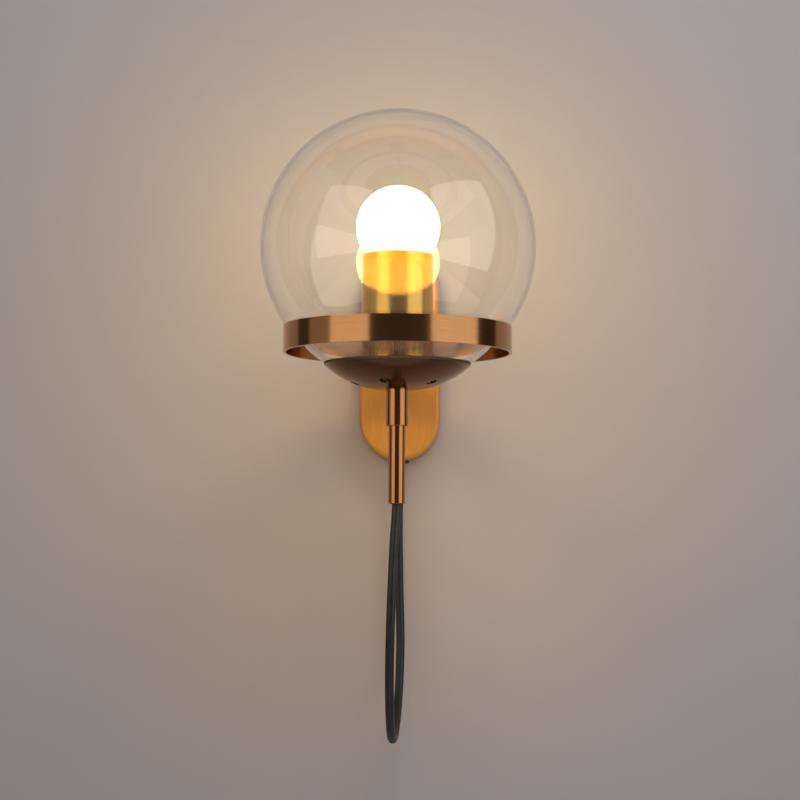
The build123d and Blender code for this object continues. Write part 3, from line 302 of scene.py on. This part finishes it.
UPRIGHT_SPREAD = 0.25
LINE_SHARE = 0.7
CLOUD_SHARE = 0.3
CLOUD_SCALE = 38.0
TONE_STOPS = (0.3, 0.5, 0.72)
MIX_COLOR_A = 6
MIX_COLOR_B = 7
MIX_COLOR_OUT = 2
BRASS_TONES = ((0.4, 0.185, 0.066), (0.47, 0.23, 0.09), (0.56, 0.3, 0.13))
STEM_TONES = ((0.4, 0.165, 0.05), (0.46, 0.195, 0.068), (0.54, 0.25, 0.1))
# Painted shade: the cup's brass is a much darker copy of the brass, standing in for the dark reflections and
# shade under the lamp.
CAP_PAINTED_SHADE_TONES = ((0.13, 0.06, 0.027), (0.165, 0.077, 0.035), (0.22, 0.108, 0.05))
# Painted shade: the near-black colour given to a bowl's upward-facing inside.
INSIDE_PAINTED_SHADE = (0.012, 0.008, 0.006)
# Painted light: the cover's brass is a brighter, more orange copy of the brass, standing in for the bulb's
# warm light falling on it.
COVER_PAINTED_GLOW_TONES = ((0.64, 0.33, 0.055), (0.74, 0.4, 0.075), (0.84, 0.48, 0.11))
# Painted light: the backplate's brass is a brighter, more orange copy of the brass, standing in for the
# bulb's warm light on it.
PLATE_PAINTED_GLOW_TONES = ((0.58, 0.26, 0.06), (0.72, 0.34, 0.085), (0.84, 0.43, 0.12))


def brushed_brass(
    name, place_of, rough=0.16, stretch=0.0, tones=BRASS_TONES, metal=1.0, painted_shade_inside=False
):
    """Lacquered antique brass with fine brushing, long in one direction and short across it.

    The faces that look upwards can be taken as a bowl's inside, and painted near black as shade.
    """
    made = Shader(name, tones[1], rough, metal)
    place = place_of(made)
    lines = made.noise(place, 1.0, detail=3.0, rough=0.7)
    clouds = made.noise(made.place(), CLOUD_SCALE, detail=3.0)
    line_part = made.math("MULTIPLY", lines, LINE_SHARE)
    cloud_part = made.math("MULTIPLY", clouds, CLOUD_SHARE)
    tone = made.math("ADD", line_part, cloud_part)
    color = made.ramp(tone, list(zip(TONE_STOPS, tones)))
    # Painted shade: faces whose normal points up (the bowl's inside) get the near-black colour.
    if painted_shade_inside:
        sides = made.add("ShaderNodeSeparateXYZ")
        made.link(made.add("ShaderNodeTexCoord").outputs["Normal"], sides.inputs[0])
        choice = made.add("ShaderNodeMix", data_type="RGBA")
        made.link(made.math("GREATER_THAN", sides.outputs["Z"], 0.0), choice.inputs["Factor"])
        made.link(color, choice.inputs[MIX_COLOR_A])
        choice.inputs[MIX_COLOR_B].default_value = (*INSIDE_PAINTED_SHADE, 1)
        color = choice.outputs[MIX_COLOR_OUT]
    made.link(color, made.main.inputs["Base Color"])
    made.link(made.spread(lines, rough * SMOOTHEST, rough * BRASS_ROUGHEST), made.main.inputs["Roughness"])
    made.bump(lines, FINE_GRAIN, strength=0.4)
    made.set("Anisotropic", stretch)
    made.set("Anisotropic Rotation", UPRIGHT_SPREAD)
    return made.material


def turned(around, along, outward, radius):
    """Brushing on a round piece that stands on the lamp's axis."""
    return lambda made: made.round_place(around, along, outward, radius)


def straight(x, y, z):
    """Brushing on a flat or straight piece."""
    return lambda made: made.place((x, y, z))


GLASS_COLOR = (0.985, 0.99, 0.985)
GLASS_TINT = (0.97, 0.975, 0.97)
GLASS_IOR = 1.5
RIPPLE_SCALE = 22.0
RIPPLE_HEIGHT = 0.00012
BULB_COLOR = (1.0, 0.93, 0.8)
BULB_LIGHT = (1.0, 0.76, 0.28)
BULB_STRENGTH = 25.0
BULB_ROUGH = 0.45
BULB_GRAIN_SCALE = 900.0


def clear_glass():
    """Blown glass with a faint ripple. Shadow and diffuse rays pass straight through it."""
    made = Shader("clear_glass", GLASS_COLOR, 0.0)
    made.set("Transmission Weight", 1.0)
    made.set("IOR", GLASS_IOR)
    ripple = made.noise(made.place(), RIPPLE_SCALE, detail=1.0, rough=0.3)
    made.bump(ripple, RIPPLE_HEIGHT, strength=0.25)
    path = made.add("ShaderNodeLightPath")
    lets_through = made.math("MAXIMUM", path.outputs["Is Shadow Ray"], path.outputs["Is Diffuse Ray"])
    made.clear_where(lets_through, GLASS_TINT)
    return made.material


def lit_diffuser():
    """Frosted plastic lit evenly from within, with a faint moulded grain."""
    made = Shader("lit_diffuser", BULB_COLOR, BULB_ROUGH)
    grain = made.noise(made.place(), BULB_GRAIN_SCALE, detail=2.0)
    made.set("Emission Color", (*BULB_LIGHT, 1))
    made.set("Emission Strength", BULB_STRENGTH)
    made.bump(grain, FINE_GRAIN, strength=0.3)
    return made.material


def satin(name, dark, light, rough, scale, bump=FINE_GRAIN, metal=0.0):
    """A moulded, plated or painted finish with small changes of colour, gloss and height."""
    made = Shader(name, dark, rough, metal)
    fleck = made.noise(made.place(), scale, detail=5.0)
    color = made.ramp(fleck, [(FLECK_DARK_STOP, dark), (FLECK_LIGHT_STOP, light)])
    made.link(color, made.main.inputs["Base Color"])
    made.link(made.spread(fleck, rough * SMOOTHEST, rough * SATIN_ROUGHEST), made.main.inputs["Roughness"])
    made.bump(fleck, bump, strength=0.5)
    return made.material


materials = {
    "ring": brushed_brass(
        "brass_ring",
        turned(around=30, along=9000, outward=9000, radius=0.0827),
        rough=0.16,
        stretch=0.5,
    ),
    "cup": brushed_brass(
        "brass_spun",
        turned(around=40, along=3500, outward=6000, radius=0.053),
        tones=CAP_PAINTED_SHADE_TONES,
        painted_shade_inside=True,
    ),
    "stem": brushed_brass(
        "brass_stem",
        turned(around=5200, along=45, outward=0, radius=0.008),
        tones=STEM_TONES,
    ),
    "cover": brushed_brass(
        "brass_cover",
        turned(around=5200, along=45, outward=0, radius=0.0258),
        rough=0.23,
        tones=COVER_PAINTED_GLOW_TONES,
    ),
    "plate": brushed_brass(
        "brass_plate",
        straight(x=5200, y=5200, z=45),
        rough=0.45,
        stretch=0.9,
        tones=PLATE_PAINTED_GLOW_TONES,
        metal=0.6,
    ),
    "arm": brushed_brass("brass_arm", straight(x=5200, y=45, z=5200)),
    "clear_glass": clear_glass(),
    "lit_diffuser": lit_diffuser(),
    "brass_screw": satin(
        "brass_screw", (0.42, 0.22, 0.09), (0.55, 0.31, 0.14), rough=0.32, scale=700, metal=1.0
    ),
    "bare_brass": satin(
        "bare_brass", (0.72, 0.52, 0.22), (0.82, 0.63, 0.3), rough=0.28, scale=500, metal=1.0
    ),
    "black_rubber": satin(
        "black_rubber", (0.012, 0.012, 0.013), (0.03, 0.03, 0.031), rough=0.6, scale=1200, bump=SOFT_GRAIN
    ),
    "black_cord": satin(
        "black_cord", (0.006, 0.0065, 0.0065), (0.014, 0.0145, 0.0145), rough=0.4, scale=260, bump=SOFT_GRAIN
    ),
    "plated_steel": satin(
        "plated_steel", (0.5, 0.5, 0.49), (0.68, 0.68, 0.66), rough=0.36, scale=420, metal=1.0
    ),
    "white_plastic": satin(
        "white_plastic", (0.78, 0.78, 0.75), (0.86, 0.86, 0.84), rough=0.42, scale=800
    ),
    "black_plastic": satin(
        "black_plastic", (0.018, 0.018, 0.018), (0.035, 0.034, 0.033), rough=0.4, scale=900
    ),
    "board_aluminium": satin(
        "board_aluminium", (0.7, 0.71, 0.72), (0.8, 0.81, 0.82), rough=0.4, scale=600, metal=1.0
    ),
    "nickel_cap": satin(
        "nickel_cap", (0.6, 0.58, 0.54), (0.74, 0.72, 0.68), rough=0.24, scale=500, metal=1.0
    ),
    "brown_lead": satin(
        "brown_lead", (0.15, 0.06, 0.025), (0.22, 0.09, 0.035), rough=0.45, scale=700
    ),
    "blue_lead": satin(
        "blue_lead", (0.03, 0.13, 0.42), (0.05, 0.19, 0.55), rough=0.45, scale=700
    ),
    "green_lead": satin(
        "green_lead", (0.16, 0.36, 0.05), (0.5, 0.52, 0.06), rough=0.45, scale=300
    ),
}
BRASS_BY_NODE = {
    "globe_ring": "ring",
    "glass_cup": "cup",
    "stem_coupler": "stem",
    "cord_tube": "stem",
    "socket_cover": "cover",
    "backplate": "plate",
    "arm": "arm",
}


def dress_nodes():
    """Gives every node of the model its own brass, or else the finish that its record names."""
    for part in frame["record"]["subparts"]:
        node = frame["nodes"][part["node"]]
        finish = BRASS_BY_NODE.get(part["node"], part["material_slot"])
        node.data.materials.clear()
        node.data.materials.append(materials[finish])


dress_nodes()

cord.data.materials.append(materials["black_cord"])
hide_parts("cord_loop")
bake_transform(cord)

# ---- wall, floor and light ----------------------------------------------------------------------

WALL_SIZE = 3.0
WALL_GAP = 0.0005
FLOOR_DROP = 0.6
FLOOR_Z = cad_low.z - FLOOR_DROP
WALL_COLOR = (0.4, 0.352, 0.345)
FLOOR_COLOR = (0.66, 0.64, 0.62)
FLAG_COLOR = (0.06, 0.055, 0.05)
FLAG_X = 0.42
FLAG_LOW = -0.6
FLAG_HIGH = 0.8
FLAG_LEFT_FRONT = -0.14
FLAG_RIGHT_FRONT = -0.16
MATT_ROUGH = 0.75
PLASTER_SCALE = 160.0
PLASTER_HEIGHT = 0.0002
PLASTER_STRENGTH = 0.2


def stage_plane(name, corners, color, see_through_back):
    """A matt surface. One with a clear back throws no shadow, and shows the object from behind."""
    mesh = bpy.data.meshes.new(name)
    mesh.from_pydata(corners, [], [(0, 1, 2, 3)])
    made = link_object(name, mesh)
    paint = Shader(name, color, MATT_ROUGH)
    paint.bump(paint.noise(paint.place(), PLASTER_SCALE), PLASTER_HEIGHT, PLASTER_STRENGTH)
    if see_through_back:
        facing = paint.add("ShaderNodeNewGeometry")
        paint.clear_where(facing.outputs["Backfacing"])
        made.visible_shadow = False
    made.data.materials.append(paint.material)
    return made


def black_flag(name, x, front):
    """A black card on edge beside the wall, which shows only as a dark band in the brass."""
    corners = [(x, front, FLAG_LOW), (x, 0, FLAG_LOW), (x, 0, FLAG_HIGH), (x, front, FLAG_HIGH)]
    flag = stage_plane(name, corners, FLAG_COLOR, False)
    flag.visible_camera = False
    flag.visible_diffuse = False
    flag.visible_transmission = False
    flag.visible_shadow = False


def make_stage():
    half = WALL_SIZE / 2
    top = FLOOR_Z + WALL_SIZE
    wall = [
        (-half, WALL_GAP, FLOOR_Z),
        (half, WALL_GAP, FLOOR_Z),
        (half, WALL_GAP, top),
        (-half, WALL_GAP, top),
    ]
    stage_plane("wall", wall, WALL_COLOR, True)
    floor = [
        (-half, -WALL_SIZE, FLOOR_Z),
        (half, -WALL_SIZE, FLOOR_Z),
        (half, half, FLOOR_Z),
        (-half, half, FLOOR_Z),
    ]
    stage_plane("floor", floor, FLOOR_COLOR, False)
    black_flag("flag_left", -FLAG_X, FLAG_LEFT_FRONT)
    black_flag("flag_right", FLAG_X, FLAG_RIGHT_FRONT)


def turn_to(item, place, aim):
    item.location = place
    item.rotation_euler = (Vector(aim) - Vector(place)).to_track_quat("-Z", "Y").to_euler()


def lit_panel(name, place, aim, width, height, brightness, color):
    """A softbox of even brightness, lit on one side, unseen by the camera and straight through glass."""
    x, y = width / 2, height / 2
    mesh = bpy.data.meshes.new(name)
    mesh.from_pydata([(-x, -y, 0), (x, -y, 0), (x, y, 0), (-x, y, 0)], [], [(0, 3, 2, 1)])
    panel = link_object(name, mesh)
    turn_to(panel, place, aim)
    panel.visible_camera = False
    panel.visible_shadow = False
    paint = Shader(name, (0, 0, 0), 1.0)
    path = paint.add("ShaderNodeLightPath")
    facing = paint.add("ShaderNodeNewGeometry")
    unmirrored = paint.math("LESS_THAN", path.outputs["Glossy Depth"], 0.5)
    through_glass = paint.math("MULTIPLY", path.outputs["Is Transmission Ray"], unmirrored)
    hidden = paint.math("MAXIMUM", through_glass, facing.outputs["Backfacing"])
    emission = paint.add("ShaderNodeEmission")
    emission.inputs["Color"].default_value = (*color, 1)
    shown = paint.math("SUBTRACT", 1.0, hidden)
    paint.link(paint.math("MULTIPLY", shown, brightness), emission.inputs["Strength"])
    paint.surface(emission)
    panel.data.materials.append(paint.material)
    return panel


def soft_light(name, place, aim, width, height, power, color):
    data = bpy.data.lights.new(name, "AREA")
    data.shape = "RECTANGLE"
    data.size = width
    data.size_y = height
    data.energy = power
    data.color = color
    light = link_object(name, data)
    turn_to(light, place, aim)
    return light


WARM_WHITE = (1.0, 0.95, 0.9)
COOL_WHITE = (0.98, 0.98, 1.0)
SKY_WHITE = (0.84, 0.9, 1.0)
BULB_GLOW = (1.0, 0.7, 0.3)
BACK_WHITE = (1.0, 0.98, 0.96)
ROOM_COLOR = (0.75, 0.72, 0.74)
ROOM_STRENGTH = 0.08
AIM_Z = 0.1
GLOW_Z = -0.04
GLOW_REACH = 0.165


def make_lights():
    """Two softboxes that the brass shows as bands, a side panel that lights no matt surface, and a dim room.

    The fill, the warm glow and the back light don't show in the brass or the glass.
    """
    aim = (0, LAMP_Y, AIM_Z)
    lit_panel(
        "left",
        place=(-1.12, -1.13, 0.45),
        aim=aim,
        width=1.24,
        height=1.5,
        brightness=1.2,
        color=WARM_WHITE,
    )
    lit_panel(
        "right",
        place=(1.3, -0.885, 0.42),
        aim=aim,
        width=1.53,
        height=1.8,
        brightness=1.27,
        color=COOL_WHITE,
    )
    fill = soft_light(
        "fill",
        place=(0.55, -1.1, 1.35),
        aim=(0.25, 0, 0.4),
        width=1.4,
        height=0.8,
        power=17.0,
        color=SKY_WHITE,
    )
    glow = soft_light(
        "glow",
        place=(0, LAMP_Y - GLOW_REACH, GLOW_Z),
        aim=(0, 0, GLOW_Z),
        width=0.2,
        height=0.2,
        power=0.55,
        color=BULB_GLOW,
    )
    back = soft_light(
        "back",
        place=(0.1, 0.7, 0.1),
        aim=(0, 0, 0.02),
        width=0.5,
        height=0.5,
        power=1.4,
        color=BACK_WHITE,
    )
    side = lit_panel(
        "side",
        place=(-1.2, -0.32, 0.45),
        aim=aim,
        width=0.62,
        height=1.5,
        brightness=0.33,
        color=WARM_WHITE,
    )
    side.visible_diffuse = False
    for light in (fill, glow, back):
        light.visible_camera = False
        light.visible_glossy = False
        light.visible_transmission = False
    world = bpy.data.worlds.new("studio")
    world.use_nodes = True
    bpy.context.scene.world = world
    background = world.node_tree.nodes["Background"]
    background.inputs["Color"].default_value = (*ROOM_COLOR, 1)
    background.inputs["Strength"].default_value = ROOM_STRENGTH


make_stage()
make_lights()

# ---- end ------------------------------------------------------------------------------------------

bpy.context.scene.view_settings.view_transform = "Standard"
